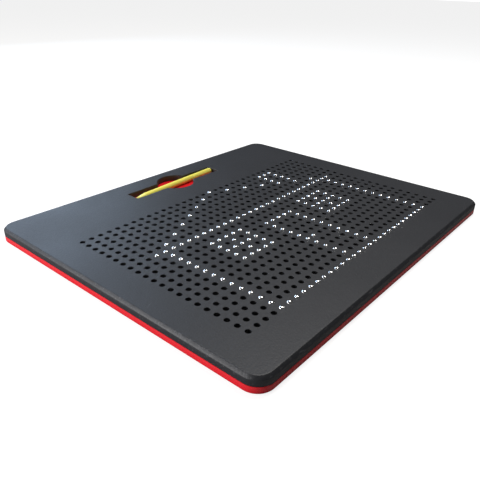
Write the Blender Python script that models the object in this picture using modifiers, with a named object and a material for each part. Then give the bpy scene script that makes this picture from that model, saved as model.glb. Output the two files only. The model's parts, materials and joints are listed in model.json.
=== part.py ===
"""Magnetic drawing board: a flat case whose perforated face shows steel balls drawn up by a stylus.

Units are metres, +Z is up and the origin is the centre of the underside. X runs along the
long side, and +Y points to the long edge that holds the stylus tray.
"""
import math

import bmesh
import bpy
from mathutils import Matrix

# Case
BOARD_LENGTH = 0.321
BOARD_WIDTH = 0.2645
BOARD_THICKNESS = 0.0115
CORNER_RADIUS = 0.012
FRONT_HEIGHT = 0.0062
FRONT_CHAMFER = 0.0019
FRONT_EDGE_WALL = 0.0022
FRONT_TOP_WALL = 0.0016
BACK_FLOOR = 0.0015
BACK_EDGE_WALL = 0.0020
BACK_EDGE_ROUND = 0.0014
PARTING_GAP = 0.0003
LIP_THICKNESS = 0.0010
LIP_HEIGHT = 0.0014
SEAT_GAP = 0.0003

# Grid of cells
PITCH = 0.008
SIDE_MARGIN = 0.0285
NEAR_MARGIN = 0.032
FAR_MARGIN = 0.0725
FACE_THICKNESS = 0.0008
HOLE_RADIUS = 0.0020
HOLE_SIDES = 8
BALL_RADIUS = 0.00238
BALL_RIM_CLEARANCE = 0.0001
BALL_SIDE_CLEARANCE = 0.0003
CELL_PLATE_BORDER = 0.006
SHEET_THICKNESS = 0.0012

# Drawing shown by the raised balls, in cells from the left column and the far row
DRAWING_COLUMNS = 34
ROOF_APEX_COLUMN = 17
ROOF_SLOPE_ROWS = 6
CHIMNEY_COLUMN = 25
CHIMNEY_TOP_ROW = 1
CHIMNEY_WIDTH = 3
CHIMNEY_ROWS = 4
WINDOW_COLUMN = 8
WINDOW_TOP_ROW = 9
WINDOW_CELLS = 5

# Stylus
STYLUS_LENGTH = 0.101
STYLUS_RADIUS = 0.0029
STYLUS_YAW = math.radians(3.4)
NOSE_LENGTH = 0.0105
NOSE_TIP_RADIUS = 0.0015
NOSE_TIP_ROUND = 0.0006
STYLUS_WALL = 0.0012
MAGNET_RADIUS = 0.0009
MAGNET_LENGTH = 0.012
MAGNET_TIP_WALL = 0.0012
MAGNET_CLEARANCE = 0.0002
PLUG_HEAD = 0.0018
PLUG_SPIGOT = 0.005
PLUG_CLEARANCE = 0.0002
STYLUS_SIDES = 20

# Stylus tray
TRAY_FROM_FAR_EDGE = 0.0292
TRAY_X = 0.0019
TRAY_END_PLAY = 0.0036
TRAY_SIDE_PLAY = 0.0084
TRAY_CORNER_RADIUS = 0.0012
TRAY_DEPTH = 0.0057
TRAY_WALL = 0.0016
NOTCH_RADIUS = 0.0175
NOTCH_SIDES = 32

# Fasteners
SCREW_INSET = 0.014
SCREW_SHANK_RADIUS = 0.0012
SCREW_HEAD_RADIUS = 0.0025
SCREW_HEAD_HEIGHT = 0.0014
SCREW_CLEARANCE = 0.0003
SCREW_TIP_DEPTH = 0.0040
SCREW_RECESS = 0.0006
SLOT_WIDTH = 0.0008
SLOT_DEPTH = 0.0006
BOSS_WALL = 0.0015
ROUND_SIDES = 16

# Heights that follow from the sizes above
TOP_Z = BOARD_THICKNESS
FRONT_BOTTOM_Z = BOARD_THICKNESS - FRONT_HEIGHT
RIM_Z = FRONT_BOTTOM_Z - PARTING_GAP
FACE_UNDER_Z = TOP_Z - FACE_THICKNESS
SHEET_BOTTOM_Z = BACK_FLOOR + SEAT_GAP
SHEET_TOP_Z = SHEET_BOTTOM_Z + SHEET_THICKNESS
PLATE_BOTTOM_Z = SHEET_TOP_Z + SEAT_GAP
PLATE_TOP_Z = FACE_UNDER_Z - SEAT_GAP
BALL_DEPTH = math.sqrt((BALL_RADIUS + BALL_RIM_CLEARANCE) ** 2 - HOLE_RADIUS ** 2)
BALL_RAISED_Z = TOP_Z - BALL_DEPTH
TRAY_FLOOR_Z = TOP_Z - TRAY_DEPTH
SEAT_Z = SCREW_RECESS + SCREW_HEAD_HEIGHT + SEAT_GAP

# Places that follow from the sizes above
COLUMNS = int((BOARD_LENGTH - 2 * SIDE_MARGIN) / PITCH + 1e-6) + 1
ROWS = int((BOARD_WIDTH - NEAR_MARGIN - FAR_MARGIN) / PITCH + 1e-6) + 1
FAR_ROW_Y = BOARD_WIDTH / 2 - FAR_MARGIN
FIELD_CENTRE_Y = FAR_ROW_Y - (ROWS - 1) * PITCH / 2
PLATE_LENGTH = (COLUMNS - 1) * PITCH + 2 * CELL_PLATE_BORDER
PLATE_WIDTH = (ROWS - 1) * PITCH + 2 * CELL_PLATE_BORDER
TRAY_Y = BOARD_WIDTH / 2 - TRAY_FROM_FAR_EDGE
TRAY_LENGTH = STYLUS_LENGTH + TRAY_END_PLAY
TRAY_WIDTH = 2 * STYLUS_RADIUS + TRAY_SIDE_PLAY
STYLUS_Z = TRAY_FLOOR_Z + SEAT_GAP + STYLUS_RADIUS
BORE_RADIUS = BALL_RADIUS + BALL_SIDE_CLEARANCE

COLOURS = {
    "case_black": (0.035, 0.036, 0.042, 0.45, 0.0),
    "case_red": (0.78, 0.03, 0.05, 0.35, 0.0),
    "cell_plate_grey": (0.10, 0.10, 0.11, 0.55, 0.0),
    "sheet_brown": (0.06, 0.045, 0.04, 0.80, 0.0),
    "ball_steel": (0.80, 0.80, 0.82, 0.15, 1.0),
    "stylus_yellow": (0.95, 0.72, 0.03, 0.35, 0.0),
    "magnet_nickel": (0.62, 0.60, 0.57, 0.25, 1.0),
    "screw_zinc": (0.55, 0.56, 0.58, 0.30, 1.0),
}


def clear_scene():
    for item in list(bpy.data.objects):
        bpy.data.objects.remove(item, do_unlink=True)


def new_collection(name):
    collection = bpy.data.collections.new(name)
    bpy.context.scene.collection.children.link(collection)
    return collection


def new_material(name):
    red, green, blue, roughness, metallic = COLOURS[name]
    material = bpy.data.materials.new(name)
    material.use_nodes = True
    shader = material.node_tree.nodes["Principled BSDF"]
    shader.inputs["Base Color"].default_value = (red, green, blue, 1.0)
    shader.inputs["Roughness"].default_value = roughness
    shader.inputs["Metallic"].default_value = metallic
    return material


def add_object(name, bm, collection, material=None):
    mesh = bpy.data.meshes.new(name)
    bm.normal_update()
    bm.to_mesh(mesh)
    bm.free()
    item = bpy.data.objects.new(name, mesh)
    collection.objects.link(item)
    if material:
        mesh.materials.append(material)
    return item


def vertical_edges(bm):
    return [edge for edge in bm.edges if abs(edge.verts[0].co.z - edge.verts[1].co.z) > 1e-6]


def level_edges(bm, z):
    return [edge for edge in bm.edges if all(abs(vert.co.z - z) < 1e-6 for vert in edge.verts)]


def block(length, width, low, high, radius, corner_segments=6, x=0.0, y=0.0):
    """A box between two heights with its four upright edges rounded."""
    bm = bmesh.new()
    bmesh.ops.create_cube(bm, size=1.0)
    bmesh.ops.scale(bm, vec=(length, width, high - low), verts=bm.verts)
    bmesh.ops.translate(bm, vec=(x, y, (low + high) / 2), verts=bm.verts)
    bmesh.ops.bevel(bm, geom=vertical_edges(bm), offset=radius, offset_type='OFFSET',
                    segments=corner_segments, profile=0.5, affect='EDGES')
    return bm


def drum(radius, low, high, x, y, sides=ROUND_SIDES):
    """An upright cylinder whose flats lie outside the radius, so a round piece clears it."""
    return flared_drum(radius, radius, low, high, x, y, sides)


def flared_drum(low_radius, high_radius, low, high, x, y, sides):
    bm = bmesh.new()
    grow = 1.0 / math.cos(math.pi / sides)
    bmesh.ops.create_cone(bm, cap_ends=True, segments=sides, radius1=low_radius * grow,
                          radius2=high_radius * grow, depth=high - low)
    bmesh.ops.rotate(bm, matrix=Matrix.Rotation(math.pi / sides, 3, 'Z'), verts=bm.verts)
    bmesh.ops.translate(bm, vec=(x, y, (low + high) / 2), verts=bm.verts)
    return bm


def merged(parts):
    """One mesh that holds several bodies which don't touch each other."""
    whole = bmesh.new()
    for bm in parts:
        mesh = bpy.data.meshes.new("part")
        bm.to_mesh(mesh)
        bm.free()
        whole.from_mesh(mesh)
        bpy.data.meshes.remove(mesh)
    return whole


def shape(item, cutter_name, bm, operation):
    """Cut or join a mesh onto an object with an exact Boolean."""
    cutter = add_object(cutter_name, bm, CUTTERS)
    cutter.hide_render = True
    cutter.display_type = 'WIRE'
    modifier = item.modifiers.new(cutter_name, 'BOOLEAN')
    modifier.operation = operation
    modifier.solver = 'EXACT'
    modifier.object = cutter


def cut(item, name, bm):
    shape(item, item.name + "_cut_" + name, bm, 'DIFFERENCE')


def join(item, name, bm):
    shape(item, item.name + "_add_" + name, bm, 'UNION')


def shaded(item):
    item.data.shade_smooth()
    item.data.set_sharp_from_angle(angle=math.radians(35))
    return item


def drawn_cells():
    """Row and column of each cell whose ball is a piece of its own: roof, chimney and window."""
    cells = [(0, ROOF_APEX_COLUMN)]
    for row in range(1, ROOF_SLOPE_ROWS + 1):
        cells.append((row, ROOF_APEX_COLUMN - 2 * row))
        cells.append((row, ROOF_APEX_COLUMN + 2 * row))
    for step in range(CHIMNEY_WIDTH):
        cells.append((CHIMNEY_TOP_ROW, CHIMNEY_COLUMN + step))
    for row in range(CHIMNEY_TOP_ROW + 1, CHIMNEY_TOP_ROW + CHIMNEY_ROWS):
        for column in (CHIMNEY_COLUMN, CHIMNEY_COLUMN + CHIMNEY_WIDTH - 1):
            if abs(column - ROOF_APEX_COLUMN) > 2 * row:
                cells.append((row, column))
    for row in range(WINDOW_CELLS):
        for column in range(WINDOW_CELLS):
            if row % 2 == 0 or column % 2 == 0:
                cells.append((WINDOW_TOP_ROW + row, WINDOW_COLUMN + column))
    return cells


def cell_place(row, column):
    centred_column = column + (COLUMNS - DRAWING_COLUMNS) // 2
    x = (centred_column - (COLUMNS - 1) / 2) * PITCH
    y = FAR_ROW_Y - row * PITCH
    return x, y


def screw_places():
    x = BOARD_LENGTH / 2 - SCREW_INSET
    y = BOARD_WIDTH / 2 - SCREW_INSET
    return [(side * x, end * y) for side in (-1, 1) for end in (-1, 0, 1)]


def tray_outline(low, high, margin, round_sides=NOTCH_SIDES):
    """The slot for the stylus and the round finger notch across it, grown by a margin."""
    slot = block(TRAY_LENGTH + 2 * margin, TRAY_WIDTH + 2 * margin, low, high,
                 TRAY_CORNER_RADIUS + margin, 3, TRAY_X, TRAY_Y)
    notch = drum(NOTCH_RADIUS + margin, low, high, TRAY_X, TRAY_Y, round_sides)
    return slot, notch


def make_front_shell(cells):
    outer = block(BOARD_LENGTH, BOARD_WIDTH, FRONT_BOTTOM_Z, TOP_Z, CORNER_RADIUS)
    bmesh.ops.bevel(outer, geom=level_edges(outer, TOP_Z), offset=FRONT_CHAMFER, offset_type='OFFSET',
                    segments=1, affect='EDGES')
    shell = add_object("front_shell", outer, PARTS, new_material("case_black"))
    inner_radius = CORNER_RADIUS - FRONT_EDGE_WALL
    cut(shell, "inside", block(BOARD_LENGTH - 2 * FRONT_EDGE_WALL, BOARD_WIDTH - 2 * FRONT_EDGE_WALL,
                               FRONT_BOTTOM_Z - PITCH, TOP_Z - FRONT_TOP_WALL, inner_radius))
    cut(shell, "plate_seat", block(PLATE_LENGTH + 2 * SEAT_GAP, PLATE_WIDTH + 2 * SEAT_GAP,
                                   PLATE_BOTTOM_Z, FACE_UNDER_Z, TRAY_CORNER_RADIUS, 2,
                                   0.0, FIELD_CENTRE_Y))
    wall_low = TRAY_FLOOR_Z + SEAT_GAP
    wall_high = TOP_Z - FRONT_TOP_WALL / 2
    slot_wall, notch_wall = tray_outline(wall_low, wall_high, TRAY_WALL)
    join(shell, "slot_wall", slot_wall)
    join(shell, "notch_wall", notch_wall)
    slot, notch = tray_outline(wall_low - PITCH, TOP_Z + PITCH, 0.0)
    cut(shell, "slot", slot)
    cut(shell, "notch", notch)
    boss_radius = SCREW_SHANK_RADIUS + BOSS_WALL
    join(shell, "bosses", merged([drum(boss_radius, FRONT_BOTTOM_Z, wall_high, x, y)
                                  for x, y in screw_places()]))
    pilot_radius = SCREW_SHANK_RADIUS + SCREW_CLEARANCE / 2
    cut(shell, "pilots", merged([drum(pilot_radius, FRONT_BOTTOM_Z - PITCH,
                                      FRONT_BOTTOM_Z + SCREW_TIP_DEPTH, x, y, 12)
                                 for x, y in screw_places()]))
    # Each hole flares downwards along the ball's own slope, so a raised ball seats on the upper rim.
    flare = BALL_DEPTH / HOLE_RADIUS
    reach = FACE_THICKNESS / 2
    holes = [flared_drum(HOLE_RADIUS + (FACE_THICKNESS + reach) * flare, HOLE_RADIUS - reach * flare,
                         FACE_UNDER_Z - reach, TOP_Z + reach, *cell_place(row, column), HOLE_SIDES)
             for row, column in cells]
    cut(shell, "holes", merged(holes))
    return shell


def make_back_shell():
    outer = block(BOARD_LENGTH, BOARD_WIDTH, 0.0, RIM_Z, CORNER_RADIUS)
    bmesh.ops.bevel(outer, geom=level_edges(outer, 0.0), offset=BACK_EDGE_ROUND, offset_type='OFFSET',
                    segments=2, profile=0.5, affect='EDGES')
    shell = add_object("back_shell", outer, PARTS, new_material("case_red"))
    lip_length = BOARD_LENGTH - 2 * (FRONT_EDGE_WALL + SEAT_GAP)
    lip_width = BOARD_WIDTH - 2 * (FRONT_EDGE_WALL + SEAT_GAP)
    lip_radius = CORNER_RADIUS - FRONT_EDGE_WALL - SEAT_GAP
    join(shell, "lip", block(lip_length, lip_width, BACK_FLOOR / 2, RIM_Z + LIP_HEIGHT, lip_radius))
    wall = max(BACK_EDGE_WALL, FRONT_EDGE_WALL + SEAT_GAP + LIP_THICKNESS)
    cut(shell, "inside", block(BOARD_LENGTH - 2 * wall, BOARD_WIDTH - 2 * wall, BACK_FLOOR,
                               RIM_Z + PITCH, CORNER_RADIUS - wall))
    slot_pad, notch_pad = tray_outline(BACK_FLOOR / 2, TRAY_FLOOR_Z, TRAY_WALL)
    join(shell, "slot_pad", slot_pad)
    join(shell, "notch_pad", notch_pad)
    slot_hollow, notch_hollow = tray_outline(-PITCH, TRAY_FLOOR_Z - BACK_FLOOR, 0.0)
    cut(shell, "slot_hollow", slot_hollow)
    cut(shell, "notch_hollow", notch_hollow)
    recess_radius = SCREW_HEAD_RADIUS + SCREW_CLEARANCE
    join(shell, "bosses", merged([drum(recess_radius + BOSS_WALL, BACK_FLOOR / 2, RIM_Z, x, y)
                                  for x, y in screw_places()]))
    cut(shell, "recesses", merged([drum(recess_radius, -PITCH, SEAT_Z, x, y)
                                   for x, y in screw_places()]))
    cut(shell, "screw_holes", merged([drum(SCREW_SHANK_RADIUS + SCREW_CLEARANCE, -PITCH,
                                           RIM_Z + PITCH, x, y, 12) for x, y in screw_places()]))
    return shell


def make_cell_plate(cells):
    plate = add_object("cell_plate", block(PLATE_LENGTH, PLATE_WIDTH, PLATE_BOTTOM_Z, PLATE_TOP_Z,
                                           TRAY_CORNER_RADIUS, 2, 0.0, FIELD_CENTRE_Y),
                       PARTS, new_material("cell_plate_grey"))
    cut(plate, "bores", merged([drum(BORE_RADIUS, PLATE_BOTTOM_Z - SEAT_GAP, PLATE_TOP_Z + SEAT_GAP,
                                     *cell_place(row, column), HOLE_SIDES) for row, column in cells]))
    return plate


def make_backing_sheet():
    return add_object("backing_sheet", block(PLATE_LENGTH, PLATE_WIDTH, SHEET_BOTTOM_Z, SHEET_TOP_Z,
                                             TRAY_CORNER_RADIUS, 2, 0.0, FIELD_CENTRE_Y),
                      PARTS, new_material("sheet_brown"))


def make_balls(cells):
    """One steel ball for each drawn cell, raised, with its origin at its own centre."""
    bm = bmesh.new()
    bmesh.ops.create_icosphere(bm, subdivisions=2, radius=BALL_RADIUS)
    mesh = bpy.data.meshes.new("steel_ball")
    bm.to_mesh(mesh)
    bm.free()
    mesh.materials.append(new_material("ball_steel"))
    mesh.shade_smooth()
    for row, column in cells:
        x, y = cell_place(row, column)
        ball = bpy.data.objects.new("steel_ball_r%02d_c%02d" % (row, column), mesh)
        ball.location = (x, y, BALL_RAISED_Z)
        PARTS.objects.link(ball)


def turned(name, profile, material, parent):
    """A solid of revolution about the local X axis, from (along, radius) points."""
    bm = bmesh.new()
    points = [bm.verts.new((radius, 0.0, along)) for along, radius in reversed(profile)]
    for first, second in zip(points, points[1:]):
        bm.edges.new((first, second))
    item = add_object(name, bm, PARTS, new_material(material))
    screw = item.modifiers.new("turn", 'SCREW')
    screw.steps = STYLUS_SIDES
    screw.render_steps = STYLUS_SIDES
    screw.use_merge_vertices = True
    screw.merge_threshold = 0.00001
    screw.use_smooth_shade = True
    item.rotation_euler = (0.0, math.pi / 2, 0.0)
    item.parent = parent
    return item


def make_stylus():
    """Barrel with a tapered nose, a rod magnet inside the nose and a plug in the open end.

    The nose points to local -X. The parent empty stands at the middle of the stylus, lying
    at a slight angle in its tray.
    """
    holder = bpy.data.objects.new("stylus_holder", None)
    holder.location = (TRAY_X, TRAY_Y, STYLUS_Z)
    holder.rotation_euler = (0.0, 0.0, STYLUS_YAW)
    PARTS.objects.link(holder)
    tip = -STYLUS_LENGTH / 2
    barrel_end = STYLUS_LENGTH / 2 - PLUG_HEAD - PLUG_CLEARANCE
    bore = STYLUS_RADIUS - STYLUS_WALL
    magnet_bore = MAGNET_RADIUS + MAGNET_CLEARANCE
    magnet_start = tip + MAGNET_TIP_WALL
    magnet_end = magnet_start + MAGNET_LENGTH + MAGNET_CLEARANCE
    barrel = [(tip, 0.0), (tip, NOSE_TIP_RADIUS - NOSE_TIP_ROUND), (tip + NOSE_TIP_ROUND, NOSE_TIP_RADIUS),
              (tip + NOSE_LENGTH, STYLUS_RADIUS), (barrel_end, STYLUS_RADIUS), (barrel_end, bore),
              (magnet_end + bore, bore), (magnet_end, magnet_bore), (magnet_start, magnet_bore),
              (magnet_start, 0.0)]
    turned("stylus_barrel", barrel, "stylus_yellow", holder)
    front = magnet_start + MAGNET_CLEARANCE
    back = front + MAGNET_LENGTH
    magnet = [(front, 0.0), (front, MAGNET_RADIUS), (back, MAGNET_RADIUS), (back, 0.0)]
    turned("stylus_magnet", magnet, "magnet_nickel", holder)
    head_start = barrel_end + PLUG_CLEARANCE
    head_end = head_start + PLUG_HEAD
    spigot = bore - PLUG_CLEARANCE
    plug = [(head_start - PLUG_SPIGOT, 0.0), (head_start - PLUG_SPIGOT, spigot), (head_start, spigot),
            (head_start, STYLUS_RADIUS), (head_end - NOSE_TIP_ROUND, STYLUS_RADIUS),
            (head_end, STYLUS_RADIUS - NOSE_TIP_ROUND), (head_end, 0.0)]
    turned("stylus_plug", plug, "stylus_yellow", holder)


def make_screws():
    """Six slotted self-tapping screws, heads down in the underside's recesses."""
    material = new_material("screw_zinc")
    for index, (x, y) in enumerate(screw_places(), start=1):
        head_low = SCREW_RECESS
        head_high = head_low + SCREW_HEAD_HEIGHT
        tip_z = FRONT_BOTTOM_Z + SCREW_TIP_DEPTH - SCREW_CLEARANCE
        head = inner_drum(SCREW_HEAD_RADIUS, head_low, head_high, x, y)
        screw = add_object("case_screw_%d" % index, head, PARTS, material)
        join(screw, "shank", inner_drum(SCREW_SHANK_RADIUS, head_low + SLOT_DEPTH, tip_z, x, y))
        slot = block(SCREW_HEAD_RADIUS * 2 + SLOT_WIDTH, SLOT_WIDTH, head_low - SLOT_DEPTH,
                     head_low + SLOT_DEPTH, SLOT_WIDTH / 8, 1, x, y)
        cut(screw, "slot", slot)


def inner_drum(radius, low, high, x, y):
    """An upright cylinder whose corners lie on the radius, so it clears the hole it stands in."""
    return drum(radius * math.cos(math.pi / ROUND_SIDES), low, high, x, y)


clear_scene()
PARTS = new_collection("magnetic_drawing_board")
CUTTERS = new_collection("cutters")
CELLS = drawn_cells()
shaded(make_front_shell(CELLS))
shaded(make_back_shell())
make_cell_plate(CELLS)
make_backing_sheet()
make_balls(CELLS)
make_stylus()
make_screws()
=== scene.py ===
import json
import math

import bmesh
import bpy
from mathutils import Matrix, Vector


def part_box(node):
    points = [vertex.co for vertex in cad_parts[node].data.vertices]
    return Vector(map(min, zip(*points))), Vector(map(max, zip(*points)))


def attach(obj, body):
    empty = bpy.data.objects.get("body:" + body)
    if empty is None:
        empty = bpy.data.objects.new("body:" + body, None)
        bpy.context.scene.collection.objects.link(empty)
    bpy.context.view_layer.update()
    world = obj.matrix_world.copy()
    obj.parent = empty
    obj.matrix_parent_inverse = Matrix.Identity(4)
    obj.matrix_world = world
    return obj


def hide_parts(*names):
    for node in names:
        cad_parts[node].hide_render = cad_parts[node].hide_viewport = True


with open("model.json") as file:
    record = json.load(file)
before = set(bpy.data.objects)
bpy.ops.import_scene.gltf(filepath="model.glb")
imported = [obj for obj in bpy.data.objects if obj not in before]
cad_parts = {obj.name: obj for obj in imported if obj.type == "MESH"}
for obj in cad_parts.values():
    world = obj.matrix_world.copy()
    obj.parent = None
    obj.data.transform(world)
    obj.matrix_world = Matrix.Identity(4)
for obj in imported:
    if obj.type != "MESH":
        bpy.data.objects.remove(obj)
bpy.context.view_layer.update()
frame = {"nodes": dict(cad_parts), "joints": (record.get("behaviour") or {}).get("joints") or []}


# Front shell: the black cover of the board, a satin ABS moulding with a chamfered edge.
# Its face has a hole for every ball and a well for the stylus; screw bosses hang inside.
CORNER_RADIUS = 0.012
CORNER_SEGMENTS = 12
TOP_CHAMFER = 0.0019
CHAMFER_FILLET = 0.00035
CHAMFER_FILLET_SEGMENTS = 3
SUPPORT_RING = 0.0004
SHELL_WALL = 0.0022
SHELL_ROOF = 0.0016
RIM_FILLET = 0.0002
RIM_FILLET_SEGMENTS = 2
TOUCH = 1e-6

COLUMNS = 34
ROWS = 21
APEX_COLUMN = 17
FACE_THICKNESS = 0.0008
HOLE_RADIUS = 0.0020
HOLE_LIP = 0.00012
HOLE_FOOT_RADIUS = 0.002586
HOLE_SIDES = 16
SEAT_MARGIN = 0.0003

TRAY_FROM_FAR_EDGE = 0.0292
TRAY_X = 0.0019
TRAY_LENGTH = 0.1046
TRAY_WIDTH = 0.0142
TRAY_CORNER = 0.0012
TRAY_CORNER_SEGMENTS = 6
TRAY_WALL = 0.0016
TRAY_LIP = 0.0003
TRAY_FLOOR_Z = 0.0058
NOTCH_RADIUS = 0.0175
NOTCH_SIDES = 96
NOTCH_FILLET = 0.0006
NOTCH_FILLET_SEGMENTS = 4
INNER_CORNER_ANGLE = -0.5
WELL_FOOT_GAP = 0.0003

SCREW_NODES = ["case_screw_%d" % number for number in range(1, 7)]
BOSS_RADIUS = 0.0027
PILOT_RADIUS = 0.00128
PILOT_DEPTH = 0.0040
BOSS_SIDES = 32


def choose(piece, *others):
    """Select only these pieces, with the first one active."""
    bpy.ops.object.select_all(action='DESELECT')
    for item in (piece, *others):
        item.select_set(True)
    bpy.context.view_layer.objects.active = piece


def open_mesh(piece):
    """Make a piece the only one selected and open it in edit mode."""
    choose(piece)
    bpy.ops.object.mode_set(mode='EDIT')


def close_mesh():
    """Leave edit mode."""
    bpy.ops.object.mode_set(mode='OBJECT')


def begin(name, primitive, **settings):
    """Add a primitive with its place in its mesh, and open it in edit mode."""
    bpy.ops.object.select_all(action='DESELECT')
    primitive(**settings)
    piece = bpy.context.object
    piece.name = piece.data.name = name
    bpy.ops.object.transform_apply(location=True, rotation=True, scale=True)
    bpy.ops.object.mode_set(mode='EDIT')
    bpy.ops.mesh.select_mode(type='VERT')
    bpy.ops.mesh.select_all(action='SELECT')
    return piece


def pick(kind, wanted):
    """In edit mode, select only the vertices, edges or faces that pass a test on their place."""
    bpy.ops.mesh.select_mode(type=kind)
    bpy.ops.mesh.select_all(action='DESELECT')
    mesh = bpy.context.object.data
    shape = bmesh.from_edit_mesh(mesh)
    for element in {'VERT': shape.verts, 'EDGE': shape.edges, 'FACE': shape.faces}[kind]:
        if wanted(element):
            element.select_set(True)
    shape.select_flush_mode()
    bmesh.update_edit_mesh(mesh)


def upright(edge):
    """A test for edges that stand straight up."""
    return (edge.verts[0].co - edge.verts[1].co).xy.length < TOUCH


def level(z):
    """A test for edges or faces that lie wholly at one height."""
    return lambda element: all(abs(vert.co.z - z) < TOUCH for vert in element.verts)


def rim(z):
    """A test for the open edges at one height."""
    return lambda edge: edge.is_boundary and level(z)(edge)


def beside(x, y, reach):
    """A test for edges within a distance of an upright axis."""
    return lambda edge: all((vert.co.xy - Vector((x, y))).length < reach for vert in edge.verts)


def push(x=0.0, y=0.0, z=0.0):
    """Extrude what is selected and move it."""
    bpy.ops.mesh.extrude_region_move(TRANSFORM_OT_translate={"value": (x, y, z)})


def widen(centre, across, along=None):
    """Resize what is selected in plan, about a point."""
    along = across if along is None else along
    bpy.ops.transform.resize(value=(across, along, 1.0), center_override=centre)


def apply_modifier(piece, kind, **settings):
    """Add a modifier to a piece and apply it."""
    choose(piece)
    modifier = piece.modifiers.new(kind.lower(), kind)
    for name, value in settings.items():
        setattr(modifier, name, value)
    bpy.ops.object.modifier_apply(modifier=modifier.name)


def join_into(piece, others):
    """Make the other meshes part of a piece, and open it in edit mode."""
    choose(piece, *others)
    bpy.ops.object.join()
    bpy.ops.object.mode_set(mode='EDIT')
    bpy.ops.mesh.select_all(action='SELECT')
    bpy.ops.mesh.remove_doubles(threshold=TOUCH)


def seal(z):
    """Fill the flat region between all the open edges at one height."""
    pick('EDGE', rim(z))
    bpy.ops.mesh.fill(use_beauty=True)


def settle(piece, angle=35.0):
    """Point all faces outwards, leave edit mode, and smooth the edges flatter than an angle."""
    bpy.ops.mesh.select_all(action='SELECT')
    bpy.ops.mesh.remove_doubles(threshold=TOUCH)
    bpy.ops.mesh.normals_make_consistent(inside=False)
    close_mesh()
    choose(piece)
    bpy.ops.object.shade_smooth_by_angle(angle=math.radians(angle))


def turned(name, place, rings, sides):
    """An open skin of revolution about an upright axis: one circle, extruded from ring to ring."""
    radius, z = rings[0]
    piece = begin(name, bpy.ops.mesh.primitive_circle_add, vertices=sides, radius=radius,
                  location=(*place, z))
    for next_radius, next_z in rings[1:]:
        push(z=next_z - z)
        widen((*place, next_z), next_radius / radius)
        radius, z = next_radius, next_z
    return piece


def tray_prism(name, low, high, margin):
    """The stylus slot and the round finger notch across it, grown by a margin, as one prism."""
    middle = (TRAY_X, tray_y, (low + high) / 2)
    prism = begin(name, bpy.ops.mesh.primitive_cube_add, size=1.0, location=middle,
                  scale=(TRAY_LENGTH + 2 * margin, TRAY_WIDTH + 2 * margin, high - low))
    pick('EDGE', upright)
    bpy.ops.mesh.bevel(offset=TRAY_CORNER + margin, segments=TRAY_CORNER_SEGMENTS)
    close_mesh()
    notch = begin(name + "_notch", bpy.ops.mesh.primitive_cylinder_add, vertices=NOTCH_SIDES,
                  radius=NOTCH_RADIUS + margin, depth=high - low, location=middle)
    close_mesh()
    apply_modifier(prism, 'BOOLEAN', operation='UNION', solver='EXACT', object=notch)
    bpy.data.objects.remove(notch)
    open_mesh(prism)
    for z in (low, high):
        pick('FACE', level(z))
        bpy.ops.mesh.dissolve_faces()
    pick('EDGE', lambda edge: upright(edge)
         and edge.calc_face_angle_signed() < INNER_CORNER_ANGLE)
    bpy.ops.mesh.bevel(offset=NOTCH_FILLET, segments=NOTCH_FILLET_SEGMENTS)
    return prism


# Outer skin, and the cavity up to the underside of the roof
front_low, front_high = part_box("front_shell")
top_z = front_high.z
roof_z = top_z - SHELL_ROOF
front_shell = begin("front_cover", bpy.ops.mesh.primitive_cube_add, size=1.0,
                    location=(front_low + front_high) / 2, scale=front_high - front_low)
pick('EDGE', upright)
bpy.ops.mesh.bevel(offset=CORNER_RADIUS, segments=CORNER_SEGMENTS)
pick('EDGE', level(top_z))
bpy.ops.mesh.bevel(offset=TOP_CHAMFER, segments=1)
for z in (top_z, top_z - TOP_CHAMFER):
    pick('EDGE', level(z))
    bpy.ops.mesh.bevel(offset=CHAMFER_FILLET, segments=CHAMFER_FILLET_SEGMENTS)
pick('EDGE', level(front_low.z))
bpy.ops.mesh.bevel(offset=RIM_FILLET, segments=RIM_FILLET_SEGMENTS)
pick('FACE', level(top_z))
bpy.ops.mesh.inset(thickness=SUPPORT_RING)
bpy.ops.mesh.delete(type='FACE')
pick('FACE', level(front_low.z))
bpy.ops.mesh.inset(thickness=SHELL_WALL - RIM_FILLET)
push(z=roof_z - front_low.z)
bpy.ops.mesh.delete(type='FACE')
close_mesh()

# One cell of the face, repeated over the whole field. Two balls, one row apart, give its place:
# the one at the apex of the house's roof, in the farthest row, and the next one down the roof
apex_low, apex_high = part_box("steel_ball_r00_c17")
next_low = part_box("steel_ball_r01_c15")[0]
ball_radius = (apex_high.z - apex_low.z) / 2
raised_z = (apex_low.z + apex_high.z) / 2
pitch = apex_low.y - next_low.y
first_x = (apex_low.x + apex_high.x) / 2 - APEX_COLUMN * pitch
first_y = (apex_low.y + apex_high.y) / 2
field_centre_y = first_y - (ROWS - 1) * pitch / 2
face_under_z = top_z - FACE_THICKNESS


def holed_cell(name, low, high, low_radius, high_radius, sides, cuts):
    """The first cell of a perforated slab: a square above and below, with the hole's wall."""
    cell = begin(name, bpy.ops.mesh.primitive_grid_add, x_subdivisions=sides // 4,
                 y_subdivisions=sides // 4, size=pitch, location=(first_x, first_y, high))
    pick('VERT', lambda vert: not vert.is_boundary)
    bpy.ops.mesh.delete(type='VERT')
    snug = 1.0 / math.cos(math.pi / sides)
    bpy.ops.mesh.primitive_circle_add(vertices=sides, radius=high_radius * snug,
                                      location=(first_x, first_y, high))
    bpy.ops.mesh.select_all(action='SELECT')
    bpy.ops.mesh.bridge_edge_loops()
    bpy.ops.mesh.select_all(action='SELECT')
    bpy.ops.mesh.duplicate()
    bpy.ops.transform.translate(value=(0.0, 0.0, low - high))
    around_hole = beside(first_x, first_y, pitch * 0.4)
    pick('EDGE', lambda edge: level(low)(edge) and around_hole(edge))
    widen((first_x, first_y, low), low_radius / high_radius)
    pick('EDGE', around_hole)
    bpy.ops.mesh.bridge_edge_loops(number_cuts=cuts)
    return cell


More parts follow.
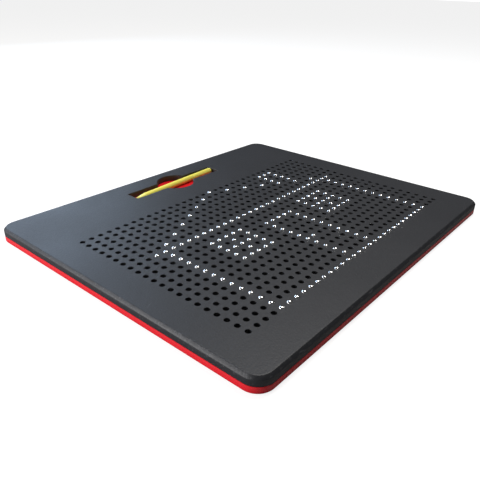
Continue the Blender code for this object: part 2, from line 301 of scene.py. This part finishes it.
mouth_radius = HOLE_RADIUS + HOLE_LIP
face_cells = holed_cell("face_cells", face_under_z, top_z, HOLE_FOOT_RADIUS, mouth_radius,
                        HOLE_SIDES, 1)
pick('VERT', lambda vert: face_under_z + TOUCH < vert.co.z < top_z - TOUCH)
throat_z = top_z - HOLE_LIP
bpy.ops.transform.translate(value=(0.0, 0.0, throat_z - (top_z + face_under_z) / 2))
widen((first_x, first_y, throat_z), HOLE_RADIUS * 2 / (mouth_radius + HOLE_FOOT_RADIUS))
close_mesh()


def repeat_cells(piece):
    """Repeat one cell's mesh over all columns and rows, with the seams merged."""
    for count, step in ((COLUMNS, (pitch, 0.0, 0.0)), (ROWS, (0.0, -pitch, 0.0))):
        apply_modifier(piece, 'ARRAY', count=count, use_relative_offset=False,
                       use_constant_offset=True, constant_offset_displace=step,
                       use_merge_vertices=True, merge_threshold=TOUCH * 5)


repeat_cells(face_cells)

# The seat that the cell plate stands in, from the holes' underside down to the roof
plate_low, plate_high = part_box("cell_plate")
plate_size = plate_high - plate_low
field_size = Vector((COLUMNS * pitch, ROWS * pitch))
open_mesh(face_cells)
pick('EDGE', rim(face_under_z))
push()
widen((0.0, field_centre_y, face_under_z),
      (plate_size.x + 2 * SEAT_MARGIN) / field_size.x,
      (plate_size.y + 2 * SEAT_MARGIN) / field_size.y)
push(z=roof_z - face_under_z)
close_mesh()

# The well of the tray, with a rounded lip on the face
tray_y = front_high.y - TRAY_FROM_FAR_EDGE
well_foot_z = TRAY_FLOOR_Z + WELL_FOOT_GAP
tray_well = tray_prism("tray_well", well_foot_z, roof_z, TRAY_WALL)
pick('FACE', level(roof_z))
bpy.ops.mesh.duplicate()
bpy.ops.transform.translate(value=(0.0, 0.0, top_z - roof_z))
bpy.ops.mesh.inset(thickness=TRAY_WALL - TRAY_LIP)
LIP_STEPS = 4
for step in range(1, LIP_STEPS + 1):
    before, after = (math.radians(90.0 * turn / LIP_STEPS) for turn in (step - 1, step))
    bpy.ops.mesh.inset(thickness=TRAY_LIP * (math.sin(after) - math.sin(before)),
                       depth=-TRAY_LIP * (math.cos(before) - math.cos(after)))
push(z=well_foot_z - top_z + TRAY_LIP)
bpy.ops.mesh.delete(type='FACE')
pick('FACE', level(well_foot_z))
bpy.ops.mesh.inset(thickness=TRAY_WALL)
bpy.ops.mesh.delete(type='FACE')
pick('FACE', level(roof_z))
bpy.ops.mesh.delete(type='FACE')
close_mesh()

# Screw bosses with their pilot holes
screw_boxes = [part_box(name) for name in SCREW_NODES]
screw_places = [((low + high) / 2).xy for low, high in screw_boxes]
pilot_end = front_low.z + PILOT_DEPTH
front_bosses = []
for place in screw_places:
    boss = turned("front_boss", place, [
        (BOSS_RADIUS, roof_z), (BOSS_RADIUS, front_low.z),
        (PILOT_RADIUS, front_low.z), (PILOT_RADIUS, pilot_end)], BOSS_SIDES)
    pick('EDGE', rim(pilot_end))
    bpy.ops.mesh.edge_face_add()
    close_mesh()
    front_bosses.append(boss)

join_into(front_shell, [face_cells, tray_well, *front_bosses])
seal(top_z)
seal(roof_z)
settle(front_shell)


class Wire:
    """A socket of a material's nodes; arithmetic on it adds Math nodes."""

    def __init__(self, socket):
        self.socket = socket

    def node(self, kind, settings, inputs, output=0):
        """Add a node: its settings first, then the values or links of its sockets."""
        tree = self.socket.id_data
        made = tree.nodes.new("ShaderNode" + kind)
        for name, value in settings.items():
            setattr(made, name, value)
        for name, value in inputs.items():
            feed(made.inputs[name], value)
        return Wire(made.outputs[output])

    def math(self, operation, *values):
        """Add a Math node with these values or wires on its sockets."""
        return self.node("Math", {"operation": operation}, dict(enumerate(values)))

    def __add__(self, other):
        return self.math('ADD', self, other)

    def __radd__(self, other):
        return self.math('ADD', other, self)

    def __sub__(self, other):
        return self.math('SUBTRACT', self, other)

    def __rsub__(self, other):
        return self.math('SUBTRACT', other, self)

    def __mul__(self, other):
        return self.math('MULTIPLY', self, other)

    def __rmul__(self, other):
        return self.math('MULTIPLY', other, self)

    def __abs__(self):
        return self.math('ABSOLUTE', self)


def feed(socket, value):
    """Link a wire to a socket, or set the socket's own value."""
    if isinstance(value, Wire):
        socket.id_data.links.new(value.socket, socket)
    elif hasattr(value, "__len__") and socket.type == 'RGBA':
        socket.default_value = (*value, 1.0)
    else:
        socket.default_value = value


def new_finish(name):
    """A material, its shader, and the place on the object as a wire."""
    material = bpy.data.materials.new(name)
    material.use_nodes = True
    nodes = material.node_tree.nodes
    place = Wire(nodes.new("ShaderNodeTexCoord").outputs["Object"])
    return material, nodes["Principled BSDF"], place


def set_shader(shader, values):
    """Set or link a shader's sockets by name."""
    for name, value in values.items():
        feed(shader.inputs[name], value)


def grain(place, size, detail=3.0, turn=0.0):
    """Noise with lumps of one size in metres, or of a (long, wide, high) size, turned in plan."""
    sizes = size if hasattr(size, "__len__") else (size, size, size)
    spot = place.node("Mapping", {"vector_type": 'TEXTURE'},
                      {"Vector": place, "Rotation": (0.0, 0.0, math.radians(turn)), "Scale": sizes})
    return place.node("TexNoise", {}, {"Vector": spot, "Scale": 1.0,
                                       "Detail": detail, "Roughness": 0.55})


def ramp(value, start, end):
    """0 below start, 1 above end, and smooth between; the other way round if end is lower."""
    return value.node("MapRange", {"interpolation_type": 'SMOOTHSTEP'},
                      {"Value": value, "From Min": start, "From Max": end})


def tint(mask, first, second):
    """The first colour where the mask is 0 and the second where it is 1."""
    return mask.node("Mix", {"data_type": 'RGBA'}, {0: mask, 6: first, 7: second}, output=2)


def relief(height, depth):
    """A normal from a height between 0 and 1 that stands for a real depth in metres."""
    return height.node("Bump", {}, {"Strength": 1.0, "Distance": depth, "Height": height})


def axis(place, index):
    """One coordinate of a place: 0 for X, 1 for Y, 2 for Z."""
    return place.node("SeparateXYZ", {}, {"Vector": place}, output=index)


def dress(piece, material, body):
    """Give a piece its material, and attach it to its body."""
    piece.data.materials.clear()
    piece.data.materials.append(material)
    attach(piece, body)


# Spark-eroded texture, hazy handling marks, scuffs on the outer edge and fine stylus scratches
case_black, shader, place = new_finish("satin_black_abs")
erosion = grain(place, 0.0014, 6.0)
mottle = grain(place, 0.004)
haze = grain(place, 0.06)
out_x = abs(axis(place, 0)) - (front_high.x - TOP_CHAMFER)
out_y = abs(axis(place, 1)) - (front_high.y - TOP_CHAMFER)
on_edge = ramp(out_x.math('MAXIMUM', out_x, out_y), -0.0006, 0.0004)
scuffs = on_edge * ramp(grain(place, (0.006, 0.0012, 0.0012), 5.0), 0.56, 0.74)
long_strokes = ramp(grain(place, (0.045, 0.0006, 0.01), 2.0, 24.0), 0.70, 0.78)
short_strokes = ramp(grain(place, (0.03, 0.0005, 0.01), 2.0, -52.0), 0.71, 0.80)
scratches = long_strokes.math('MAXIMUM', long_strokes, short_strokes)
speckle = erosion * 0.6 + mottle * 0.4
plain_black = tint(speckle, (0.008, 0.009, 0.0115), (0.017, 0.0185, 0.0235))
marked_black = tint(scuffs * 0.35 + scratches * 0.12, plain_black, (0.20, 0.20, 0.22))
set_shader(shader, {
    "Base Color": marked_black,
    "Roughness": 0.36 + erosion * 0.18 + haze * 0.12 - scratches * 0.06,
    "Normal": relief(erosion * 0.7 + mottle * 0.3 - scratches * 0.10, 0.00022),
})
dress(front_shell, case_black, "case")
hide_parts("front_shell")


# Back shell: the red half that closes the board from below, moulded in glossy ABS with a rolled
# edge. A lip on its rim registers in the front shell; its floor is raised under the stylus well.
PARTING_GAP = 0.0003
BACK_EDGE_ROUND = 0.0014
BACK_EDGE_SEGMENTS = 6
BACK_FLOOR = 0.0015
LIP_THICKNESS = 0.0010
LIP_INSET = 0.0025
HOLLOW_CHAMFER = 0.0004
RECESS_RADIUS = 0.0028
RECESS_CHAMFER = 0.0002
RECESS_SEAT_Z = 0.0023
SCREW_HOLE_RADIUS = 0.0015
BACK_BOSS_RADIUS = 0.0043

back_low, back_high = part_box("back_shell")
rim_z = front_low.z - PARTING_GAP
back_shell = begin("back_cover", bpy.ops.mesh.primitive_cube_add, size=1.0,
                   location=(0.0, 0.0, (back_low.z + rim_z) / 2),
                   scale=(back_high.x - back_low.x, back_high.y - back_low.y, rim_z - back_low.z))
pick('EDGE', upright)
bpy.ops.mesh.bevel(offset=CORNER_RADIUS, segments=CORNER_SEGMENTS)
pick('EDGE', level(back_low.z))
bpy.ops.mesh.bevel(offset=BACK_EDGE_ROUND, segments=BACK_EDGE_SEGMENTS)
pick('EDGE', level(rim_z))
bpy.ops.mesh.bevel(offset=RIM_FILLET, segments=RIM_FILLET_SEGMENTS)
pick('FACE', level(back_low.z))
bpy.ops.mesh.inset(thickness=SUPPORT_RING)
bpy.ops.mesh.delete(type='FACE')
pick('FACE', level(rim_z))
bpy.ops.mesh.inset(thickness=LIP_INSET - RIM_FILLET)
push(z=back_high.z - rim_z)
bpy.ops.mesh.inset(thickness=LIP_THICKNESS)
push(z=BACK_FLOOR - back_high.z)
bpy.ops.mesh.delete(type='FACE')
close_mesh()

# The raised floor of the stylus well, and the hollow under it that keeps the wall even
tray_pad = tray_prism("tray_pad", BACK_FLOOR, TRAY_FLOOR_Z, TRAY_WALL)
pick('FACE', level(BACK_FLOOR))
bpy.ops.mesh.delete(type='FACE')
close_mesh()
under_hollow = tray_prism("under_hollow", back_low.z, BACK_FLOOR, HOLLOW_CHAMFER)
pick('FACE', lambda face: not level(back_low.z)(face))
bpy.ops.mesh.delete(type='FACE')
bpy.ops.mesh.select_all(action='SELECT')
bpy.ops.mesh.inset(thickness=HOLLOW_CHAMFER, depth=-HOLLOW_CHAMFER)
push(z=TRAY_FLOOR_Z - BACK_FLOOR - HOLLOW_CHAMFER)
close_mesh()

# Screw bosses, each with a counterbore for the head
back_bosses = []
for place in screw_places:
    back_bosses.append(turned("back_boss", place, [
        (BACK_BOSS_RADIUS, BACK_FLOOR), (BACK_BOSS_RADIUS, rim_z), (SCREW_HOLE_RADIUS, rim_z),
        (SCREW_HOLE_RADIUS, RECESS_SEAT_Z), (RECESS_RADIUS, RECESS_SEAT_Z),
        (RECESS_RADIUS, back_low.z + RECESS_CHAMFER), (RECESS_RADIUS + RECESS_CHAMFER, back_low.z)],
        BOSS_SIDES))
    close_mesh()

join_into(back_shell, [tray_pad, under_hollow, *back_bosses])
seal(back_low.z)
seal(BACK_FLOOR)
settle(back_shell)

# Polished mould walls, a fine erosion on the underside, and scuffs where the edge rubs on a table
case_red, shader, place = new_finish("gloss_red_abs")
erosion = grain(place, 0.0005, 4.0)
flow = grain(place, (0.05, 0.012, 0.02), 3.0)
height = axis(place, 2)
underside = ramp(height, 0.0006, 0.0001)
tray_floor = ramp(height, TRAY_FLOOR_Z - 0.0003, TRAY_FLOOR_Z - 0.0001)
on_roll = ramp(height, 0.0016, 0.0006) * (1.0 - underside)
rubs = on_roll * ramp(grain(place, (0.008, 0.008, 0.0008), 5.0), 0.56, 0.72)
scratches = underside * ramp(grain(place, (0.05, 0.0006, 0.01), 2.0, 31.0), 0.69, 0.78)
plain_red = tint(flow, (0.72, 0.010, 0.020), (0.84, 0.018, 0.030))
marked_red = tint(rubs * 0.30 + scratches * 0.12, plain_red, (0.90, 0.42, 0.42))
texture = erosion * (0.15 + underside * 0.85 - tray_floor * 0.10)
set_shader(shader, {
    "Base Color": marked_red,
    "Roughness": 0.24 + erosion * 0.06 + underside * 0.22 + rubs * 0.25 - tray_floor * 0.17,
    "Normal": relief(texture - scratches * 0.3, 0.00004),
})
dress(back_shell, case_red, "case")
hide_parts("back_shell")


# Cell plate: a thick grey moulding with a bore for each ball, seated under the black face.
# The bores guide the balls as the stylus draws them up or lets them fall.
BORE_RADIUS = 0.00268
BORE_SIDES = 12

cell_plate = holed_cell("bored_cell_plate", plate_low.z, plate_high.z, BORE_RADIUS, BORE_RADIUS,
                        BORE_SIDES, 0)
close_mesh()
repeat_cells(cell_plate)
open_mesh(cell_plate)
pick('EDGE', rim(plate_high.z))
push()
widen((0.0, field_centre_y, plate_high.z),
      plate_size.x / field_size.x, plate_size.y / field_size.y)
push(z=-plate_size.z)
seal(plate_low.z)
settle(cell_plate)

# Dull charcoal plastic, rubbed a little shinier down the bores
plate_grey, shader, place = new_finish("charcoal_cell_plastic")
erosion = grain(place, 0.0006, 4.0)
haze = grain(place, 0.03)
bore_wall = ramp(axis(place, 2), plate_high.z, plate_high.z - 0.0006)
set_shader(shader, {
    "Base Color": tint(haze * 0.5 + erosion * 0.5, (0.020, 0.020, 0.022), (0.040, 0.040, 0.044)),
    "Roughness": 0.62 - bore_wall * 0.15 + erosion * 0.12,
    "Normal": relief(erosion, 0.00005),
})
dress(cell_plate, plate_grey, "case")
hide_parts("cell_plate")


# Backing sheet: flexible rubber magnet that closes the bores from below and holds the fallen balls.
# It is ferrite powder in rubber, rolled out and magnetised in fine strips.
STRIP_WIDTH = 0.0024

sheet_brown, shader, place = new_finish("ferrite_rubber_sheet")
powder = grain(place, 0.0004, 5.0)
rolled = grain(place, (0.08, 0.002, 0.01), 3.0)
across = axis(place, 1)
strips = across.math('PINGPONG', across, STRIP_WIDTH / 2) * (2 / STRIP_WIDTH)
speckle = powder * 0.5 + rolled * 0.3 + strips * 0.2
set_shader(shader, {
    "Base Color": tint(speckle, (0.030, 0.022, 0.019), (0.075, 0.058, 0.050)),
    "Roughness": 0.72 + powder * 0.18,
    "Normal": relief(powder * 0.8 + strips * 0.2, 0.00003),
})
frame["nodes"]["backing_sheet"].material_slots[0].material = sheet_brown


# Steel balls: one for each cell, of polished bearing steel. The stylus draws a ball up until it
# seats in its hole, and those that it has drawn show a house; all the others lie fallen.
RAISED_CUTS = 3
LOWERED_CUTS = 2

slides = [joint for joint in frame["joints"] if joint["name"].startswith("ball_")]
fall = -slides[0]["range_m"][0]


def ball_pattern(name, cuts):
    """A ball at the origin, rounded from a subdivided cube so that it has no poles."""
    pattern = begin(name, bpy.ops.mesh.primitive_cube_add, size=ball_radius)
    bpy.ops.mesh.subdivide(number_cuts=cuts)
    close_mesh()
    apply_modifier(pattern, 'CAST', factor=1.0, use_radius_as_size=False, size=ball_radius)
    open_mesh(pattern)
    settle(pattern, angle=180.0)
    return pattern


def ball_copy(pattern, name, row, column, z):
    """A copy of a ball with its own mesh, in the cell at a row and column."""
    copy = bpy.data.objects.new(name, pattern.data.copy())
    copy.data.name = name
    copy.data.transform(Matrix.Translation((first_x + column * pitch, first_y - row * pitch, z)))
    bpy.context.scene.collection.objects.link(copy)
    return copy


def ball_group(name, pattern, cells, z):
    """The balls of several cells, all at one height, as one piece."""
    balls = [ball_copy(pattern, name, row, column, z) for row, column in sorted(cells)]
    choose(*balls)
    bpy.ops.object.join()
    balls[0].name = balls[0].data.name = name
    return balls[0]


# Bright steel with faint drag marks and a little grime
steel, shader, place = new_finish("polished_bearing_steel")
smears = grain(place, 0.0012, 3.0)
drags = ramp(grain(place, (0.0002, 0.0002, 0.003), 3.0), 0.60, 0.72)
grime = ramp(grain(place, 0.009, 2.0), 0.52, 0.78)
set_shader(shader, {
    "Base Color": tint(grime * 0.5, (0.80, 0.80, 0.81), (0.52, 0.50, 0.48)),
    "Metallic": 1.0,
    "Roughness": 0.12 + smears * 0.05 + drags * 0.06 + grime * 0.06,
    "Normal": relief(drags * 0.6 + smears * 0.4, 0.0000015),
})

# Cells whose ball is a CAD piece of its own: the roof, the chimney and the left window
raised_pattern = ball_pattern("raised_pattern", RAISED_CUTS)
lowered_pattern = ball_pattern("lowered_pattern", LOWERED_CUTS)
own_cells = set()
for slide in slides:
    row, column = (int(part[1:]) for part in slide["child"].split("_")[1:3])
    own_cells.add((row, column))
    ball = ball_copy(raised_pattern, "polished_" + slide["child"], row, column, raised_z)
    dress(ball, steel, slide["child"])
    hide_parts("steel_" + slide["child"])

# The rest of the drawing, as (row, column) from the far row and the left column
eaves = {(7, column) for column in range(3, 32)}
walls = {(row, column) for row in range(8, 20) for column in (4, 30)}
ground = {(20, column) for column in range(4, 31)}
door_head = {(10, column) for column in range(15, 20)}
door_sides = {(row, column) for row in range(11, 20) for column in (15, 19)}
door_knob = {(15, 16)}
right_window = {(9 + row, 22 + column) for row in range(5) for column in range(5)
                if row % 2 == 0 or column % 2 == 0}
drawn_cells = eaves | walls | ground | door_head | door_sides | door_knob | right_window
all_cells = {(row, column) for row in range(ROWS) for column in range(COLUMNS)}
fallen_cells = all_cells - drawn_cells - own_cells
raised_balls = ball_group("raised_balls", raised_pattern, drawn_cells, raised_z)
lowered_balls = ball_group("lowered_balls", lowered_pattern, fallen_cells, raised_z - fall)
for balls in (raised_balls, lowered_balls):
    dress(balls, steel, "case")
for pattern in (raised_pattern, lowered_pattern):
    bpy.data.objects.remove(pattern)


# Stylus: a round yellow pen moulded in glossy plastic, with a rod magnet in its nose.
# A plug of the same plastic closes its open end. It lies loose in the well, a little askew.
STYLUS_SIDES = 64
STYLUS_LENGTH = 0.101
STYLUS_RADIUS = 0.0029
NOSE_LENGTH = 0.0105
NOSE_TIP_RADIUS = 0.0015
NOSE_TIP_ROUND = 0.0006
SHOULDER_BLEND = 0.0012
STYLUS_BORE = 0.0017
MAGNET_WALL = 0.0012
MAGNET_BORE = 0.0011
MAGNET_ROOM = 0.0122
PLUG_HEAD = 0.0018
PLUG_ROUND = 0.0006
PLUG_SPIGOT = 0.005
PLUG_GAP = 0.0002
EDGE_BREAK = 0.00025
ARC_STEPS = 5

barrel_low, barrel_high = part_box("stylus_barrel")
magnet_low, magnet_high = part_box("stylus_magnet")
stylus_centre = Vector((TRAY_X, tray_y, (barrel_low.z + barrel_high.z) / 2))
to_magnet = (magnet_low + magnet_high) / 2 - stylus_centre
stylus_yaw = math.atan2(-to_magnet.y, -to_magnet.x)
stylus_half = STYLUS_LENGTH / 2


def arc(centre, radius, start, end, steps=ARC_STEPS):
    """Points (across, along) on an arc between two angles in degrees, 0 being outwards."""
    across, along = centre
    points = []
    for step in range(steps + 1):
        angle = math.radians(start + (end - start) * step / steps)
        points.append((across + radius * math.cos(angle), along + radius * math.sin(angle)))
    return points


def lay_along_stylus(piece):
    """Close a piece made upright at the origin, and turn it to lie on the stylus's axis."""
    bpy.ops.mesh.select_all(action='SELECT')
    bpy.ops.mesh.fill_holes(sides=0)
    settle(piece)
    piece.rotation_euler = (0.0, math.radians(90.0), stylus_yaw)
    piece.location = stylus_centre
    bpy.ops.object.transform_apply(location=True, rotation=True, scale=True)


# Barrel: a blunt tip, a long taper and a soft shoulder, with a bore and the magnet's pocket
tip = -stylus_half
barrel_end = stylus_half - PLUG_HEAD - PLUG_GAP
shoulder = tip + NOSE_LENGTH
slope = (STYLUS_RADIUS - NOSE_TIP_RADIUS) / (NOSE_LENGTH - NOSE_TIP_ROUND)
pocket_end = tip + MAGNET_WALL + MAGNET_ROOM
barrel_rings = [
    *arc((NOSE_TIP_RADIUS - NOSE_TIP_ROUND, tip + NOSE_TIP_ROUND), NOSE_TIP_ROUND, -90.0, 0.0),
    (STYLUS_RADIUS - SHOULDER_BLEND * slope, shoulder - SHOULDER_BLEND),
    (STYLUS_RADIUS - SHOULDER_BLEND * slope * 0.3, shoulder - SHOULDER_BLEND * 0.2),
    (STYLUS_RADIUS, shoulder + SHOULDER_BLEND),
    *arc((STYLUS_RADIUS - EDGE_BREAK, barrel_end - EDGE_BREAK), EDGE_BREAK, 0.0, 90.0, 3),
    (STYLUS_BORE, barrel_end),
    (STYLUS_BORE, pocket_end + STYLUS_BORE),
    (MAGNET_BORE, pocket_end),
    (MAGNET_BORE, tip + MAGNET_WALL),
]
barrel = turned("pen_barrel", (0.0, 0.0), barrel_rings, STYLUS_SIDES)
lay_along_stylus(barrel)

# Plug: a flat head as wide as the barrel on a spigot that stands in the bore
head_start = barrel_end + PLUG_GAP
spigot = STYLUS_BORE - PLUG_GAP
plug_rings = [
    (spigot - EDGE_BREAK, head_start - PLUG_SPIGOT),
    (spigot, head_start - PLUG_SPIGOT + EDGE_BREAK),
    (spigot, head_start),
    *arc((STYLUS_RADIUS - EDGE_BREAK, head_start + EDGE_BREAK), EDGE_BREAK, -90.0, 0.0, 3),
    *arc((STYLUS_RADIUS - PLUG_ROUND, stylus_half - PLUG_ROUND), PLUG_ROUND, 0.0, 90.0),
]
plug = turned("pen_plug", (0.0, 0.0), plug_rings, STYLUS_SIDES)
lay_along_stylus(plug)

# Bright glossy yellow with a faint flow pattern, finger grime, and a darkened rubbed tip
yellow, shader, place = new_finish("gloss_yellow_plastic")
along_pen = place.node("Mapping", {"vector_type": 'TEXTURE'}, {
    "Vector": place, "Location": stylus_centre, "Rotation": (0.0, 0.0, stylus_yaw)})
flow = grain(along_pen, (0.03, 0.003, 0.003), 3.0)
skin = grain(along_pen, 0.0005, 4.0)
grime = ramp(grain(along_pen, (0.012, 0.004, 0.004), 4.0), 0.52, 0.80)
at_tip = ramp(axis(along_pen, 0), tip + NOSE_LENGTH * 0.30, tip)
rubbed = at_tip * ramp(skin, 0.30, 0.62)
clean_yellow = tint(flow, (1.0, 0.86, 0.120), (1.0, 0.92, 0.180))
used_yellow = tint(grime * 0.18, clean_yellow, (0.60, 0.34, 0.02))
set_shader(shader, {
    "Base Color": tint(rubbed * 0.55, used_yellow, (0.10, 0.08, 0.04)),
    "Roughness": 0.26 + skin * 0.08 + grime * 0.10 + rubbed * 0.25,
    "Normal": relief(skin * 0.5 + flow * 0.5, 0.00002),
    "Subsurface Weight": 0.4,
    "Subsurface Radius": (1.0, 1.0, 1.0),
    "Subsurface Scale": 0.002,
})
for piece, node in ((barrel, "stylus_barrel"), (plug, "stylus_plug")):
    dress(piece, yellow, "stylus")
    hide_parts(node)

# Rod magnet: pressed and nickel-plated, glued into the pocket in the nose
nickel, shader, place = new_finish("nickel_plated_magnet")
brushed = grain(place, (0.004, 0.0003, 0.0003), 4.0, math.degrees(stylus_yaw))
set_shader(shader, {
    "Base Color": tint(brushed, (0.52, 0.50, 0.46), (0.70, 0.68, 0.64)),
    "Metallic": 1.0,
    "Roughness": 0.24 + brushed * 0.14,
    "Normal": relief(brushed, 0.000008),
})
frame["nodes"]["stylus_magnet"].material_slots[0].material = nickel


# Case screws: slotted self-tappers of zinc-plated steel, sunk in the underside, one in each boss.
# They pull the red shell up against the black one.
SCREW_SIDES = 32
HEAD_HEIGHT = 0.0014
HEAD_FLAT_RADIUS = 0.0012
HEAD_ROUND = 0.0005
SLOT_WIDTH = 0.0008
SLOT_DEPTH = 0.0006
THREAD_PITCH = 0.0008
THREAD_DEPTH = 0.00022
SHANK_RADIUS = 0.0012
POINT_RADIUS = 0.0003

screw_low, screw_high = screw_boxes[0]
head_radius = (screw_high.x - screw_low.x) / 2
head_top = screw_low.z + HEAD_HEIGHT
thread_root = SHANK_RADIUS - THREAD_DEPTH
screw_rings = [
    (HEAD_FLAT_RADIUS, screw_low.z),
    *arc((head_radius - HEAD_ROUND, screw_low.z + HEAD_ROUND), HEAD_ROUND, -90.0, 0.0, 4),
    (head_radius, head_top),
    (SHANK_RADIUS, head_top),
]
turn_z = head_top + THREAD_PITCH
while turn_z < screw_high.z - THREAD_PITCH * 1.5:
    screw_rings += [(thread_root, turn_z), (thread_root, turn_z + THREAD_PITCH * 0.3),
                    (SHANK_RADIUS, turn_z + THREAD_PITCH * 0.6)]
    turn_z += THREAD_PITCH
screw_rings += [(thread_root, screw_high.z - THREAD_PITCH), (POINT_RADIUS, screw_high.z)]
screw_pattern = turned("screw_pattern", screw_places[0], screw_rings, SCREW_SIDES)
bpy.ops.mesh.select_all(action='SELECT')
bpy.ops.mesh.fill_holes(sides=0)
settle(screw_pattern)
slot_cutter = begin("slot_cutter", bpy.ops.mesh.primitive_cube_add, size=1.0,
                    location=(*screw_places[0], screw_low.z),
                    scale=(head_radius * 3, SLOT_WIDTH, SLOT_DEPTH * 2))
close_mesh()
apply_modifier(screw_pattern, 'BOOLEAN', operation='DIFFERENCE', solver='EXACT',
               object=slot_cutter)
bpy.data.objects.remove(slot_cutter)
open_mesh(screw_pattern)
settle(screw_pattern)

# Zinc plate: a passivated film that goes from bluish to faintly yellow, over fine pits
zinc, shader, place = new_finish("zinc_plated_steel")
film = grain(place, 0.0015, 3.0)
pits = grain(place, 0.0002, 4.0)
set_shader(shader, {
    "Base Color": tint(film, (0.44, 0.47, 0.52), (0.66, 0.65, 0.60)),
    "Metallic": 1.0,
    "Roughness": 0.26 + pits * 0.16,
    "Normal": relief(pits, 0.00001),
})
for node, place_of_screw in zip(SCREW_NODES, screw_places):
    screw = bpy.data.objects.new("slotted_" + node, screw_pattern.data.copy())
    screw.data.name = screw.name
    screw.data.transform(Matrix.Translation((*(place_of_screw - screw_places[0]), 0.0)))
    bpy.context.scene.collection.objects.link(screw)
    dress(screw, zinc, "case")
    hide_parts(node)
bpy.data.objects.remove(screw_pattern)


# Table and studio: a plain white floor in white surroundings, lit by a cool window beyond the
# board's far edge, a softbox on its left and one overhead. The camera looks down over a corner.
CAMERA_PLACE = (-0.3137, -0.24585, 0.1887)
CAMERA_HEADING = 49.89
CAMERA_FALL = 27.19
CAMERA_ROLL = 1.23
CAMERA_LENS = 38.4
CAMERA_NEAR_CLIP = 0.01
FLOOR_SIZE = 12.0
FLOOR_DROP = 0.0002
FLOOR_GLOW = 0.85
SURROUND_SEEN = 1.2
SURROUND_LIGHT = 0.08

bpy.ops.object.select_all(action='DESELECT')
bpy.ops.mesh.primitive_plane_add(size=FLOOR_SIZE, location=(0.0, 0.0, -FLOOR_DROP))
floor = bpy.context.object
floor.name = "white_floor"
bpy.ops.object.transform_apply(location=True, rotation=True, scale=True)
white, shader, place = new_finish("white_floor_paint")
set_shader(shader, {"Base Color": (0.30, 0.30, 0.30), "Roughness": 0.9, "Specular IOR Level": 0.0})
paint = Wire(shader.outputs["BSDF"])
seen = place.node("LightPath", {}, {}, output=0)
glow = place.node("Emission", {}, {"Color": (1.0, 1.0, 1.0), "Strength": FLOOR_GLOW})
lit_paint = place.node("AddShader", {}, {0: paint, 1: glow})
shown = place.node("MixShader", {}, {0: seen, 1: paint, 2: lit_paint})
feed(white.node_tree.nodes["Material Output"].inputs["Surface"], shown)
floor.data.materials.append(white)

world = bpy.data.worlds.new("studio")
bpy.context.scene.world = world
world.use_nodes = True
sky = Wire(world.node_tree.nodes.new("ShaderNodeLightPath").outputs["Is Camera Ray"])
backdrop = world.node_tree.nodes["Background"]
feed(backdrop.inputs["Color"], (1.0, 1.0, 1.0))
feed(backdrop.inputs["Strength"], SURROUND_LIGHT + sky * (SURROUND_SEEN - SURROUND_LIGHT))


def softbox(name, place, size, power, colour):
    """A flat light of a (wide, high) size at a place, turned to face the board."""
    bpy.ops.object.light_add(type='AREA', location=place)
    light = bpy.context.object
    light.name = name
    light.rotation_euler = Vector(place).to_track_quat('Z', 'Y').to_euler()
    light.data.shape = 'RECTANGLE'
    light.data.size, light.data.size_y = size
    light.data.energy = power
    light.data.color = colour


softbox("window_light", (0.10, 1.15, 0.50), (1.1, 0.45), 8.5, (0.62, 0.78, 1.0))
softbox("left_light", (-1.0, 0.50, 0.35), (0.8, 0.6), 14.0, (1.0, 0.98, 0.98))
softbox("top_light", (0.35, 0.05, 1.2), (0.4, 0.4), 12.0, (1.0, 0.97, 0.93))

aim = Matrix.Rotation(math.radians(-CAMERA_HEADING), 3, 'Z')
aim @= Matrix.Rotation(math.radians(90.0 - CAMERA_FALL), 3, 'X')
aim @= Matrix.Rotation(math.radians(CAMERA_ROLL), 3, 'Z')
bpy.ops.object.camera_add(location=CAMERA_PLACE, rotation=aim.to_euler())
camera = bpy.context.object
camera.data.lens = CAMERA_LENS
camera.data.clip_start = CAMERA_NEAR_CLIP
bpy.context.scene.camera = camera
bpy.context.scene.view_settings.view_transform = 'Standard'
